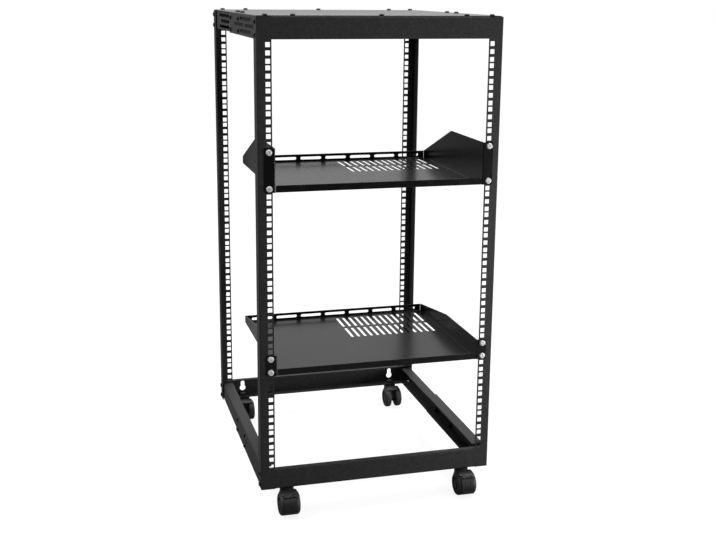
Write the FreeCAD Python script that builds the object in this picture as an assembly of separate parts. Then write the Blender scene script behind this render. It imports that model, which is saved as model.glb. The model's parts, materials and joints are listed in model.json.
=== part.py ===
import FreeCAD, Part
import math
import os

# Open-frame server rack on casters: two welded end frames, telescoping side rails, a top cover,
# two bolted shelves and four swivel casters. Millimetres, X to the right, Y to the back, Z up.
# The sizes are set about the middle of the frame. The finished rack is moved along Y so that the
# origin lies on the floor under the centre of everything, casters included.

Vector = FreeCAD.Vector

# Rack hole pattern
RACK_UNITS = 20
UNIT_HEIGHT = 44.45
NARROW_PITCH = 12.7
HOLES_PER_UNIT = 3
HOLE_SIDE = 9.5
HOLE_COLUMNS = 465.1

# Frame
FRAME_DEPTH = 572.0
FRAME_SHEET = 2.0
POST_HOLE_SETBACK = 22.45
POST_HOLE_RIB = 2.8
POST_SIDE = 30.0
BEAM_HEIGHT = 44.0
BEAM_WIDE_FLANGE = 25.0
BEAM_NARROW_FLANGE = 12.0
LOWEST_HOLE_ABOVE_BEAM = 7.0
TOP_HOLE_BELOW_BEAM = 9.7
BEND_OUTSIDE = 2.5
BEND_INSIDE = 0.6

# Screws and nuts
M6_RADIUS = 3.0
M6_HOLE_GAP = 0.3
M6_NUT_ACROSS = 10.0
M6_NUT_HEIGHT = 5.0
THREAD_GAP = 0.05
DOME_HEAD_RADIUS = 5.25
DOME_HEAD_HEIGHT = 3.3
DOME_HEAD_RIM = 1.1
PAN_HEAD_RADIUS = 6.25
PAN_HEAD_HEIGHT = 4.0
PAN_HEAD_RIM = 1.6
SCREW_LENGTH = 11.0
RECESS_WIDTH = 1.3
RECESS_DEPTH = 1.6
RECESS_REACH = 3.1

# Side rails
RAIL_SHEET = 1.5
RAIL_FLANGE = 25.0
RAIL_END_GAP = 0.5
NEST_GAP = 0.3
NUT_WALL_GAP = 1.2
JOINT_CENTRE = -16.0
JOINT_PITCH = 100.0
JOINT_OVERHANG = 20.0
RAIL_END_SCREW_SETBACK = 13.0
RAIL_SLOT_GAP = 0.5
RAIL_RIB = 22.0
REAR_SLOT_SETBACK = 72.0
SHIM_MARGIN = 2.0

# Top cover
COVER_SHEET = 1.5
COVER_INSET = 2.0
COVER_CORNER = 6.0
COVER_ROW_SETBACK = 14.0
COVER_CORNER_SCREW_SETBACK = 20.0
COVER_INNER_SCREW_SETBACK = 75.0
COVER_PAIR_PITCH = 60.0
COVER_SLOT_SETBACK = 122.0

# Shelves
SHELF_SHEET = 1.5
SHELF_SIDE_GAP = 4.0
SHELF_EAR_BEYOND_HOLE = 8.75
SHELF_DEPTH = 382.0
SHELF_FRONT_LIP = 14.5
SHELF_REAR_LIP = 18.0
LIP_TOP_FLAT = 0.3
SHELF_CORNER_GAP = 0.8
SHELF_BEYOND_SCREW = 7.9
SHELF_SIDE_FLAT = 195.0
SHELF_EAR_CORNER = 3.0
EAR_SLOT_GAP = 0.4
EAR_SLOT_PLAY = 4.2
UPPER_SHELF_HOLES = (40, 45)
LOWER_SHELF_HOLES = (14, 16)
LIP_SLOT_COUNT = 7
LIP_SLOT_BAR = 10.0
LIP_SLOT_HEIGHT = 6.5
LIP_SLOT_TOP_MARGIN = 6.0
LIP_SLOT_END_MARGIN = 13.7
VENT_COUNT = 14
VENT_ROWS = 2
VENT_FIRST_X = 0.5
VENT_SIDE_MARGIN = 21.4
VENT_REAR_MARGIN = 18.0
VENT_WIDTH = 7.0
VENT_LENGTH = 72.0
VENT_BAR = 9.0

# Cage nuts behind the shelf ears
CAGE_WING = 1.5
CAGE_DEPTH = 5.0
CAGE_PLUG_GAP = 0.15
CAGE_PLUG_DEPTH = 1.7

# Wall mounting keyholes in the rear beams
KEYHOLE_SIDE_SETBACK = 56.0
KEYHOLE_TOP_MARGIN = 6.5
KEYHOLE_BOTTOM_MARGIN = 11.0
KEYHOLE_NARROW = 10.0
KEYHOLE_ROUND = 15.0

# Casters
CASTER_SIDE_SETBACK = 57.0
CASTER_TRAIL = 22.0
WHEEL_RADIUS = 25.0
WHEEL_WIDTH = 15.0
WHEEL_EDGE_ROUND = 6.0
WHEEL_INNER_ROUND = 4.0
WHEEL_DISH_DEPTH = 2.0
WHEEL_DISH_RIM = 2.0
WHEEL_HUB_RADIUS = 9.0
WHEEL_CAP = 3.0
WHEEL_SIDE_GAP = 0.5
WHEEL_TREAD_GAP = 0.8
FIN_WALL = 1.0
FIN_HUB_RADIUS = 11.0
HOOD_SHEET = 2.5
HOOD_SIDE_INSET = 4.0
HOOD_EDGE_ROUND = 2.0
HOOD_BACK_ANGLE = -62.0
HOOD_FRONT_ANGLE = 30.0
HOOD_ROOT = 1.0
NECK_RADIUS = 15.0
NECK_HEIGHT = 15.0
NECK_RISE = 1.4
SOCKET_RADIUS = 9.0
SOCKET_FLOOR = 4.7
SWIVEL_GAP = 0.3
COLLAR_RADIUS = 8.5
COLLAR_HEIGHT = 1.0
PIVOT_RADIUS = 5.0
PIVOT_DEPTH = 22.0
PIVOT_END_GAP = 0.5
RUNNING_GAP = 0.05
AXLE_RADIUS = 3.0
AXLE_END_GAP = 0.5
STUD_RADIUS = 4.9
STUD_LENGTH = 8.5
STUD_HOLE_GAP = 0.4
STUD_NUT_ACROSS = 16.0
STUD_NUT_HEIGHT = 5.0
STUD_NUT_WALL_GAP = 2.5

# Foot brakes on the front casters
BRAKE_HINGE_STEP = 10.0
BRAKE_HINGE_LIFT = 0.2
BRAKE_KNUCKLE_RADIUS = 3.2
BRAKE_LUG_INSET = 1.0
BRAKE_LUG_OVERLAP = 5.0
BRAKE_SIDE_GAP = 0.4
BRAKE_SIDE_INSET = 2.5
BRAKE_EDGE_ROUND = 1.2
BRAKE_START_STEP = 1.0
BRAKE_SWEEP = 77.0
BRAKE_TOE_SWEEP = 9.0
BRAKE_TOE = 2.5
BRAKE_PIN_RADIUS = 1.5
BRAKE_PIN_END = 1.0

# How far a cutter passes the face it opens, and how near counts as the same place
CUT_PAST = 1.0
SAME_PLACE = 1e-4

# Frame places that follow from the sizes above
HALF_WIDTH = HOLE_COLUMNS / 2 + POST_HOLE_SETBACK
HALF_OPENING = HOLE_COLUMNS / 2 - HOLE_SIDE / 2 - POST_HOLE_RIB
HOLE_X = -HOLE_COLUMNS / 2
FRONT = -FRAME_DEPTH / 2
FRONT_INSIDE = FRONT + FRAME_SHEET
LEFT_INSIDE = -HALF_WIDTH + FRAME_SHEET
M6_HOLE_RADIUS = M6_RADIUS + M6_HOLE_GAP

# Caster places
HOOD_INSIDE = WHEEL_RADIUS + WHEEL_TREAD_GAP
HOOD_OUTSIDE = HOOD_INSIDE + HOOD_SHEET
NECK_TOP = WHEEL_RADIUS + HOOD_OUTSIDE + NECK_RISE
FRAME_BOTTOM = NECK_TOP + SWIVEL_GAP + COLLAR_HEIGHT
PIVOT_HOLE_BOTTOM = NECK_TOP - PIVOT_DEPTH
FIN_WIDTH = 2 * (PIVOT_RADIUS + FIN_WALL)
WHEEL_INNER_X = FIN_WIDTH / 2 + WHEEL_SIDE_GAP
WHEEL_OUTER_X = WHEEL_INNER_X + WHEEL_WIDTH
WHEEL_DISH_RADIUS = WHEEL_RADIUS - WHEEL_EDGE_ROUND - WHEEL_DISH_RIM
AXLE_END_X = WHEEL_OUTER_X - WHEEL_CAP - AXLE_END_GAP
HOOD_WIDTH = 2 * (WHEEL_OUTER_X - HOOD_SIDE_INSET)
CASTER_X = HALF_WIDTH - CASTER_SIDE_SETBACK
CASTER_SETBACK = FRAME_SHEET + STUD_NUT_ACROSS / 2 + STUD_NUT_WALL_GAP
BRAKE_HINGE_ANGLE = HOOD_FRONT_ANGLE + BRAKE_HINGE_STEP
BRAKE_HINGE_RADIUS = HOOD_INSIDE + BRAKE_KNUCKLE_RADIUS + BRAKE_HINGE_LIFT
BRAKE_START_ANGLE = BRAKE_HINGE_ANGLE + BRAKE_START_STEP
BRAKE_END_ANGLE = BRAKE_START_ANGLE + BRAKE_SWEEP
BRAKE_LUG_WIDTH = FIN_WIDTH - 2 * BRAKE_LUG_INSET
BRAKE_WIDTH = HOOD_WIDTH - 2 * BRAKE_SIDE_INSET

# Rack holes
FIRST_HOLE_Z = FRAME_BOTTOM + BEAM_HEIGHT + LOWEST_HOLE_ABOVE_BEAM
HOLE_COUNT = RACK_UNITS * HOLES_PER_UNIT
WIDE_PITCH = (UNIT_HEIGHT - NARROW_PITCH) / (HOLES_PER_UNIT - 1)


def hole_height(number):
    """Height of rack hole NUMBER, counted from the lowest."""
    unit, step = divmod(number, HOLES_PER_UNIT)
    return FIRST_HOLE_Z + unit * UNIT_HEIGHT + step * WIDE_PITCH


TOP_BEAM_BOTTOM = hole_height(HOLE_COUNT - 1) + TOP_HOLE_BELOW_BEAM
FRAME_TOP = TOP_BEAM_BOTTOM + BEAM_HEIGHT

# Rail, cover and shelf places
RAIL_BOTTOMS = {"top": TOP_BEAM_BOTTOM, "bottom": FRAME_BOTTOM}
RAIL_WEB_OUT = LEFT_INSIDE
REAR_RAIL_WEB_OUT = RAIL_WEB_OUT + RAIL_SHEET
RAIL_FLANGE_EDGE = RAIL_WEB_OUT + RAIL_FLANGE
RAIL_START = FRONT_INSIDE + RAIL_END_GAP
RAIL_FLANGE_START = FRONT + BEAM_WIDE_FLANGE + RAIL_END_GAP
NEST_LIFT = RAIL_SHEET + NEST_GAP
RAIL_SCREW_RISE = BEAM_HEIGHT / 2 - NEST_LIFT - RAIL_SHEET - M6_NUT_ACROSS / 2 - NUT_WALL_GAP
RAIL_SLOT_WIDTH = 2 * (M6_RADIUS + RAIL_SLOT_GAP)
JOINT_FRONT = JOINT_CENTRE - JOINT_PITCH / 2
JOINT_REAR = JOINT_CENTRE + JOINT_PITCH / 2
FRONT_RAIL_END = JOINT_REAR + JOINT_OVERHANG
REAR_RAIL_START = RAIL_FLANGE_START
REAR_SLOT_END = -FRONT - REAR_SLOT_SETBACK
BEAM_FLANGE_END = abs(REAR_RAIL_WEB_OUT + RAIL_SHEET) - RAIL_END_GAP
COVER_CORNER_X = HALF_WIDTH - COVER_CORNER_SCREW_SETBACK
COVER_INNER_X = HALF_WIDTH - COVER_INNER_SCREW_SETBACK
COVER_ROW_X = (-COVER_CORNER_X, -COVER_INNER_X, 0.0, COVER_INNER_X, COVER_CORNER_X)
COVER_PAIR_X = (RAIL_WEB_OUT + RAIL_FLANGE_EDGE) / 2
COVER_PAIR_Y = (JOINT_CENTRE - COVER_PAIR_PITCH / 2, JOINT_CENTRE + COVER_PAIR_PITCH / 2)
KEYHOLE_X = HALF_WIDTH - KEYHOLE_SIDE_SETBACK
SHELF_HALF = HALF_OPENING - SHELF_SIDE_GAP
SHELF_INSIDE = SHELF_HALF - SHELF_SHEET
SHELF_PANEL_HALF = HOLE_COLUMNS / 2 + SHELF_EAR_BEYOND_HOLE
SHELF_FACE = FRONT - SHELF_SHEET
SHELF_REAR = FRONT + SHELF_DEPTH
LIP_EDGE_ROUND = (SHELF_SHEET - LIP_TOP_FLAT) / 2


# Shape helpers
def box(x_range, y_range, z_range):
    """A box between the two values of each range."""
    low = Vector(min(x_range), min(y_range), min(z_range))
    high = Vector(max(x_range), max(y_range), max(z_range))
    return Part.makeBox(high.x - low.x, high.y - low.y, high.z - low.z, low)


def rod(radius, start, end):
    """A round bar from START to END."""
    along = end - start
    return Part.makeCylinder(radius, along.Length, start, along)


def join(shapes):
    """One solid from shapes that meet."""
    first = shapes[0]
    return first.fuse(shapes[1:]).removeSplitter()


def cut_all(shape, cutters):
    """SHAPE with every one of CUTTERS taken out."""
    return shape.cut(Part.makeCompound(cutters))


def mirror_x(shape):
    """SHAPE on the other side of the rack."""
    return shape.mirror(Vector(0, 0, 0), Vector(1, 0, 0))


def mirror_y(shape):
    """SHAPE at the other end of the rack."""
    return shape.mirror(Vector(0, 0, 0), Vector(0, 1, 0))


def edges_at(shape, axis, places):
    """Straight edges along AXIS ("x", "y" or "z") at one of PLACES, the other two coordinates."""
    others = [name for name in "xyz" if name != axis]
    found = []
    for edge in shape.Edges:
        if len(edge.Vertexes) != 2:
            continue
        start = edge.Vertexes[0].Point
        end = edge.Vertexes[1].Point
        drift = [abs(getattr(start, name) - getattr(end, name)) for name in others]
        if max(drift) > SAME_PLACE:
            continue
        spot = [getattr(start, name) for name in others]
        for place in places:
            if abs(spot[0] - place[0]) < SAME_PLACE and abs(spot[1] - place[1]) < SAME_PLACE:
                found.append(edge)
    return found


def rounded(shape, radius, axis, places):
    """SHAPE with the edges along AXIS at PLACES rounded."""
    return shape.makeFillet(radius, edges_at(shape, axis, places))


def rim_edges(shape, axis, place):
    """The full circles of SHAPE that lie across AXIS at PLACE."""
    found = []
    for edge in shape.Edges:
        whole = len(edge.Vertexes) == 1
        if whole and abs(getattr(edge.CenterOfMass, axis) - place) < SAME_PLACE:
            found.append(edge)
    return found


def side_hole(x_range, y, height):
    """A cutter for an M6 screw hole along X in an upright web."""
    return rod(M6_HOLE_RADIUS, Vector(min(x_range), y, height), Vector(max(x_range), y, height))


def level_hole(radius, x, y, z_range):
    """A cutter for a round hole along Z in a level sheet."""
    return rod(radius, Vector(x, y, min(z_range)), Vector(x, y, max(z_range)))


def slot_along_y(x_range, start, end, height, width):
    """A cutter for a round-ended slot along Y in an upright web."""
    half = width / 2
    middle = box(x_range, (start + half, end - half), (height - half, height + half))
    caps = []
    for y in (start + half, end - half):
        caps.append(rod(half, Vector(min(x_range), y, height), Vector(max(x_range), y, height)))
    return middle.fuse(caps)


def slot_along_x(x_range, y_range, height, width):
    """A cutter for a round-ended slot along X in an upright sheet."""
    half = width / 2
    centres = (min(x_range) + half, max(x_range) - half)
    middle = box(centres, y_range, (height - half, height + half))
    caps = []
    for x in centres:
        caps.append(rod(half, Vector(x, min(y_range), height), Vector(x, max(y_range), height)))
    return middle.fuse(caps)


def floor_slot(x, start, end, z_range, width):
    """A cutter for a round-ended slot along Y in a level sheet."""
    half = width / 2
    middle = box((x - half, x + half), (start + half, end - half), z_range)
    caps = [level_hole(half, x, y, z_range) for y in (start + half, end - half)]
    return middle.fuse(caps)


def screw(head_radius, head_height, head_rim):
    """A cross-recess screw, head below the seat at the origin and shank towards +Z."""
    head = Part.makeCylinder(head_radius, head_height, Vector(0, 0, -head_height))
    head = head.makeFillet(head_height - head_rim, rim_edges(head, "z", -head_height))
    span = (-RECESS_REACH, RECESS_REACH)
    width = (-RECESS_WIDTH / 2, RECESS_WIDTH / 2)
    depth = (-head_height - CUT_PAST, -head_height + RECESS_DEPTH)
    cross = box(span, width, depth).fuse(box(width, span, depth))
    shank = Part.makeCylinder(M6_RADIUS, SCREW_LENGTH)
    return head.cut(cross).fuse(shank).removeSplitter()


def hex_nut(across, height, bore):
    """A nut standing on the origin along +Z, with two of its flats square to X."""
    sides = 6
    corner = across / 2 / math.cos(math.pi / sides)
    points = []
    for step in range(sides + 1):
        angle = 2 * math.pi * (step + 0.5) / sides
        points.append(Vector(corner * math.cos(angle), corner * math.sin(angle), 0))
    prism = Part.Face(Part.makePolygon(points)).extrude(Vector(0, 0, height))
    return prism.cut(Part.makeCylinder(bore, height))


def pointed(shape, place, direction):
    """SHAPE, drawn along +Z at the origin, moved to PLACE and turned along DIRECTION."""
    turn = FreeCAD.Rotation(Vector(0, 0, 1), direction)
    copy = shape.copy()
    copy.Placement = FreeCAD.Placement(place, turn)
    return copy


DOME_SCREW = screw(DOME_HEAD_RADIUS, DOME_HEAD_HEIGHT, DOME_HEAD_RIM)
PAN_SCREW = screw(PAN_HEAD_RADIUS, PAN_HEAD_HEIGHT, PAN_HEAD_RIM)
M6_NUT = hex_nut(M6_NUT_ACROSS, M6_NUT_HEIGHT, M6_RADIUS + THREAD_GAP)


def rail_screw_heights(bottom):
    """The heights of the two rows of screws in a rail whose lower edge is at BOTTOM."""
    middle = bottom + BEAM_HEIGHT / 2
    return (middle - RAIL_SCREW_RISE, middle + RAIL_SCREW_RISE)


def all_rail_screw_heights():
    """The heights of the screw rows of the bottom and top rails."""
    heights = []
    for bottom in RAIL_BOTTOMS.values():
        heights.extend(rail_screw_heights(bottom))
    return heights


# Posts
def make_post():
    """The front left post: an angle with the rack holes in its front flange."""
    span = (FRAME_BOTTOM, FRAME_TOP)
    flange = box((-HALF_WIDTH, -HALF_OPENING), (FRONT, FRONT_INSIDE), span)
    side = box((-HALF_WIDTH, LEFT_INSIDE), (FRONT, FRONT + POST_SIDE), span)
    post = join([flange, side])
    post = rounded(post, BEND_OUTSIDE, "z", [(-HALF_WIDTH, FRONT)])
    post = rounded(post, BEND_INSIDE, "z", [(LEFT_INSIDE, FRONT_INSIDE)])
    half = HOLE_SIDE / 2
    columns = (HOLE_X - half, HOLE_X + half)
    through = (FRONT - CUT_PAST, FRONT_INSIDE + CUT_PAST)
    cutters = []
    for number in range(HOLE_COUNT):
        height = hole_height(number)
        cutters.append(box(columns, through, (height - half, height + half)))
    sideways = (-HALF_WIDTH - CUT_PAST, LEFT_INSIDE + CUT_PAST)
    for height in all_rail_screw_heights():
        cutters.append(side_hole(sideways, FRONT + RAIL_END_SCREW_SETBACK, height))
    return cut_all(post, cutters)


# Beams
def make_beam(bottom, wide_flange_up):
    """A front cross beam: web flush between the posts, flanges reaching in behind them."""
    top = bottom + BEAM_HEIGHT
    span = (-HALF_OPENING, HALF_OPENING)
    web = box(span, (FRONT, FRONT_INSIDE), (bottom, top))
    levels = {True: (top - FRAME_SHEET, top), False: (bottom, bottom + FRAME_SHEET)}
    flanges = []
    tabs = []
    for upper, level in levels.items():
        depth = BEAM_WIDE_FLANGE if upper == wide_flange_up else BEAM_NARROW_FLANGE
        flanges.append(box(span, (FRONT, FRONT + depth), level))
        tab = box((-BEAM_FLANGE_END, -HALF_OPENING), (FRONT_INSIDE, FRONT + depth), level)
        tabs.extend([tab, mirror_x(tab)])
    channel = join([web] + flanges)
    channel = rounded(channel, BEND_OUTSIDE, "x", [(FRONT, bottom), (FRONT, top)])
    inside = [(FRONT_INSIDE, bottom + FRAME_SHEET), (FRONT_INSIDE, top - FRAME_SHEET)]
    channel = rounded(channel, BEND_INSIDE, "x", inside)
    return join([channel] + tabs)


def cut_cover_holes(beam):
    """A front beam with a row of cover screw holes through its top flange."""
    y = FRONT + COVER_ROW_SETBACK
    z_range = (FRAME_TOP - BEAM_HEIGHT / 2, FRAME_TOP + CUT_PAST)
    return cut_all(beam, [level_hole(M6_HOLE_RADIUS, x, y, z_range) for x in COVER_ROW_X])


def cut_stud_holes(beam):
    """A front beam with the holes of the caster studs through its bottom flange."""
    y = FRONT + CASTER_SETBACK
    radius = STUD_RADIUS + STUD_HOLE_GAP
    z_range = (FRAME_BOTTOM - CUT_PAST, FRAME_BOTTOM + BEAM_HEIGHT / 2)
    return cut_all(beam, [level_hole(radius, x, y, z_range) for x in (-CASTER_X, CASTER_X)])


def cut_keyholes(beam, bottom):
    """A rear beam with two wall mounting keyholes, narrow end up, through its web."""
    front = -FRONT - FRAME_SHEET - CUT_PAST
    back = -FRONT + CUT_PAST
    half = KEYHOLE_NARROW / 2
    narrow_z = bottom + BEAM_HEIGHT - KEYHOLE_TOP_MARGIN - half
    round_z = bottom + KEYHOLE_BOTTOM_MARGIN + KEYHOLE_ROUND / 2
    cutters = []
    for x in (-KEYHOLE_X, KEYHOLE_X):
        neck = box((x - half, x + half), (front, back), (round_z, narrow_z))
        cap = rod(half, Vector(x, front, narrow_z), Vector(x, back, narrow_z))
        eye = rod(KEYHOLE_ROUND / 2, Vector(x, front, round_z), Vector(x, back, round_z))
        cutters.append(neck.fuse([cap, eye]))
    return cut_all(beam, cutters)


# Side rails
def make_rail(web_out, y_range, flange_range, z_range):
    """A left side rail: a channel open to the middle, flanges shorter than the web at the post."""
    low = min(z_range)
    high = max(z_range)
    web = box((web_out, web_out + RAIL_SHEET), y_range, z_range)
    floor = box((web_out, RAIL_FLANGE_EDGE), flange_range, (low, low + RAIL_SHEET))
    roof = box((web_out, RAIL_FLANGE_EDGE), flange_range, (high - RAIL_SHEET, high))
    return join([web, floor, roof])


def make_front_rail(upper):
    """The front half of a left rail, outside the rear half. UPPER ones have slots and cover holes."""
    ends = (RAIL_START, FRONT_RAIL_END)
    flange_ends = (RAIL_FLANGE_START, FRONT_RAIL_END)
    rail = make_rail(RAIL_WEB_OUT, ends, flange_ends, (TOP_BEAM_BOTTOM, FRAME_TOP))
    through = (RAIL_WEB_OUT - CUT_PAST, RAIL_WEB_OUT + RAIL_SHEET + CUT_PAST)
    heights = rail_screw_heights(TOP_BEAM_BOTTOM)
    cutters = []
    for height in heights:
        for y in (FRONT + RAIL_END_SCREW_SETBACK, JOINT_FRONT, JOINT_REAR):
            cutters.append(side_hole(through, y, height))
    if upper:
        middle = TOP_BEAM_BOTTOM + BEAM_HEIGHT / 2
        outer_slot = (RAIL_FLANGE_START + 2 * RAIL_RIB, JOINT_FRONT - RAIL_RIB)
        slot_middle = (RAIL_FLANGE_START + JOINT_CENTRE) / 2
        first_slot = (RAIL_FLANGE_START, slot_middle - RAIL_RIB / 2)
        second_slot = (slot_middle + RAIL_RIB / 2, JOINT_CENTRE)
        for height in heights:
            cutters.append(slot_along_y(through, outer_slot[0], outer_slot[1], height, RAIL_SLOT_WIDTH))
        for slot in (first_slot, second_slot):
            cutters.append(slot_along_y(through, slot[0], slot[1], middle, RAIL_SLOT_WIDTH))
        for y in COVER_PAIR_Y:
            cutters.append(level_hole(M6_HOLE_RADIUS, COVER_PAIR_X, y, (middle, FRAME_TOP + CUT_PAST)))
    return cut_all(rail, cutters)


def make_rear_rail(upper):
    """The rear half of a left rail, nested inside the front half and slotted to slide."""
    z_range = (TOP_BEAM_BOTTOM + NEST_LIFT, FRAME_TOP - NEST_LIFT)
    ends = (REAR_RAIL_START, -RAIL_START)
    flange_ends = (REAR_RAIL_START, -RAIL_FLANGE_START)
    rail = make_rail(REAR_RAIL_WEB_OUT, ends, flange_ends, z_range)
    through = (REAR_RAIL_WEB_OUT - CUT_PAST, REAR_RAIL_WEB_OUT + RAIL_SHEET + CUT_PAST)
    slot_start = JOINT_FRONT - JOINT_OVERHANG / 2
    slot_end = REAR_SLOT_END if upper else JOINT_REAR + JOINT_OVERHANG / 2
    cutters = []
    for height in rail_screw_heights(TOP_BEAM_BOTTOM):
        cutters.append(side_hole(through, -FRONT - RAIL_END_SCREW_SETBACK, height))
        cutters.append(slot_along_y(through, slot_start, slot_end, height, RAIL_SLOT_WIDTH))
    if upper:
        middle = TOP_BEAM_BOTTOM + BEAM_HEIGHT / 2
        cutters.append(slot_along_y(through, JOINT_CENTRE, slot_end - RAIL_RIB, middle, RAIL_SLOT_WIDTH))
        start = COVER_PAIR_Y[0] - JOINT_OVERHANG / 2
        end = -FRONT - COVER_SLOT_SETBACK
        cutters.append(floor_slot(COVER_PAIR_X, start, end, (middle, FRAME_TOP), RAIL_SLOT_WIDTH))
    return cut_all(rail, cutters)


def make_shims():
    """Flat plates that fill the step between the rear rails and the rear posts."""
    lift = NEST_LIFT + SHIM_MARGIN
    through = (RAIL_WEB_OUT - CUT_PAST, REAR_RAIL_WEB_OUT + CUT_PAST)
    plates = []
    for bottom in RAIL_BOTTOMS.values():
        z_range = (bottom + lift, bottom + BEAM_HEIGHT - lift)
        plate = box((RAIL_WEB_OUT, REAR_RAIL_WEB_OUT), (-RAIL_FLANGE_START, -RAIL_START), z_range)
        holes = []
        for height in rail_screw_heights(bottom):
            holes.append(side_hole(through, -FRONT - RAIL_END_SCREW_SETBACK, height))
        plate = cut_all(plate, holes)
        plates.extend([plate, mirror_x(plate)])
    return Part.makeCompound(plates)


def side_fasteners(seats):
    """Screws and nuts along X on both sides, from SEATS of Y, screw seat X and nut seat X."""
    screws = []
    nuts = []
    inward = Vector(1, 0, 0)
    for height in all_rail_screw_heights():
        for y, screw_x, nut_x in seats:
            left_screw = pointed(DOME_SCREW, Vector(screw_x, y, height), inward)
            left_nut = pointed(M6_NUT, Vector(nut_x, y, height), inward)
            screws.extend([left_screw, mirror_x(left_screw)])
            nuts.extend([left_nut, mirror_x(left_nut)])
    return Part.makeCompound(screws), Part.makeCompound(nuts)


def rail_end_fasteners():
    """The screws through the post sides into the rail ends, and their nuts."""
    setback = FRONT + RAIL_END_SCREW_SETBACK
    front_seat = (setback, -HALF_WIDTH, RAIL_WEB_OUT + RAIL_SHEET)
    rear_seat = (-setback, -HALF_WIDTH, REAR_RAIL_WEB_OUT + RAIL_SHEET)
    return side_fasteners((front_seat, rear_seat))


def rail_joint_fasteners():
    """The screws that clamp the two halves of each rail together, and their nuts."""
    nut_x = REAR_RAIL_WEB_OUT + RAIL_SHEET
    return side_fasteners(((JOINT_FRONT, RAIL_WEB_OUT, nut_x), (JOINT_REAR, RAIL_WEB_OUT, nut_x)))


# Top cover
def cover_screw_places():
    """Every cover screw as X, Y and the height its nut seats at."""
    under_beam = FRAME_TOP - FRAME_SHEET
    under_rails = FRAME_TOP - NEST_LIFT - RAIL_SHEET
    places = []
    for x in COVER_ROW_X:
        for y in (FRONT + COVER_ROW_SETBACK, -FRONT - COVER_ROW_SETBACK):
            places.append((x, y, under_beam))
    for x in (COVER_PAIR_X, -COVER_PAIR_X):
        for y in COVER_PAIR_Y:
            places.append((x, y, under_rails))
    return places


def make_cover():
    """The closed top cover."""
    half_x = HALF_WIDTH - COVER_INSET
    half_y = -FRONT - COVER_INSET
    top = FRAME_TOP + COVER_SHEET
    cover = box((-half_x, half_x), (-half_y, half_y), (FRAME_TOP, top))
    corners = [(-half_x, -half_y), (half_x, -half_y), (-half_x, half_y), (half_x, half_y)]
    cover = rounded(cover, COVER_CORNER, "z", corners)
    through = (FRAME_TOP - CUT_PAST, top + CUT_PAST)
    holes = [level_hole(M6_HOLE_RADIUS, x, y, through) for x, y, seat in cover_screw_places()]
    return cut_all(cover, holes)


def cover_fasteners():
    """The cover screws and the nuts under the flanges."""
    screws = []
    nuts = []
    down = Vector(0, 0, -1)
    for x, y, seat in cover_screw_places():
        screws.append(pointed(DOME_SCREW, Vector(x, y, FRAME_TOP + COVER_SHEET), down))
        nuts.append(pointed(M6_NUT, Vector(x, y, seat), down))
    return Part.makeCompound(screws), Part.makeCompound(nuts)


# Shelves
def make_tray(bottom, top):
    """The floor of a shelf with its two upright sides."""
    under = bottom + SHELF_SHEET
    floor_ends = (FRONT + BEND_OUTSIDE, SHELF_REAR - BEND_OUTSIDE)
    floor = box((-SHELF_HALF, SHELF_HALF), floor_ends, (bottom, under))
    left = box((-SHELF_HALF, -SHELF_INSIDE), (FRONT, SHELF_REAR), (bottom, top))
    tray = join([floor, left, mirror_x(left)])
    tray = rounded(tray, BEND_OUTSIDE, "y", [(-SHELF_HALF, bottom), (SHELF_HALF, bottom)])
    return rounded(tray, BEND_INSIDE, "y", [(-SHELF_INSIDE, under), (SHELF_INSIDE, under)])


def make_lip(bottom, top, outer, inward):
    """A raised lip across a shelf whose outer face is at OUTER, folded from the floor, with eased edges."""
    half = SHELF_INSIDE - SHELF_CORNER_GAP
    inner = outer + inward * SHELF_SHEET
    reach = inner + inward * 2 * BEND_OUTSIDE
    upright = box((-half, half), (outer, inner), (bottom, top))
    foot = box((-half, half), (outer, reach), (bottom, bottom + SHELF_SHEET))
    lip = join([upright, foot])
    lip = rounded(lip, BEND_OUTSIDE, "x", [(outer, bottom)])
    lip = rounded(lip, LIP_EDGE_ROUND, "x", [(outer, top), (inner, top)])
    return rounded(lip, BEND_INSIDE, "x", [(inner, bottom + SHELF_SHEET)])


def cut_lip_slots(lip, top):
    """The rear lip with its row of long cable-tie slots."""
    half = SHELF_INSIDE - SHELF_CORNER_GAP - LIP_SLOT_END_MARGIN
    pitch = (2 * half + LIP_SLOT_BAR) / LIP_SLOT_COUNT
    height = top - LIP_SLOT_TOP_MARGIN - LIP_SLOT_HEIGHT / 2
    through = (SHELF_REAR - SHELF_SHEET - CUT_PAST, SHELF_REAR + CUT_PAST)
    slots = []
    for number in range(LIP_SLOT_COUNT):
        start = -half + number * pitch
        slots.append(slot_along_x((start, start + pitch - LIP_SLOT_BAR), through, height, LIP_SLOT_HEIGHT))
    return cut_all(lip, slots)


def make_ear(bottom, top, screw_heights):
    """The left bolting ear of a shelf, in front of the post, with a slot for each screw."""
    flat = box((-SHELF_PANEL_HALF, -SHELF_INSIDE), (SHELF_FACE, FRONT), (bottom, top))
    fold = box((-SHELF_HALF, -SHELF_INSIDE), (SHELF_FACE, FRONT + BEND_OUTSIDE), (bottom, top))
    ear = join([flat, fold])
    ear = rounded(ear, BEND_OUTSIDE - SHELF_SHEET / 2, "z", [(-SHELF_INSIDE, SHELF_FACE)])
    ear = rounded(ear, SHELF_EAR_CORNER, "y", [(-SHELF_PANEL_HALF, bottom), (-SHELF_PANEL_HALF, top)])
    slot_height = 2 * (M6_RADIUS + EAR_SLOT_GAP)
    half = (slot_height + EAR_SLOT_PLAY) / 2
    through = (SHELF_FACE - CUT_PAST, FRONT + CUT_PAST)
    slots = []
    for height in screw_heights:
        slots.append(slot_along_x((HOLE_X - half, HOLE_X + half), through, height, slot_height))
    return cut_all(ear, slots)


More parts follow.
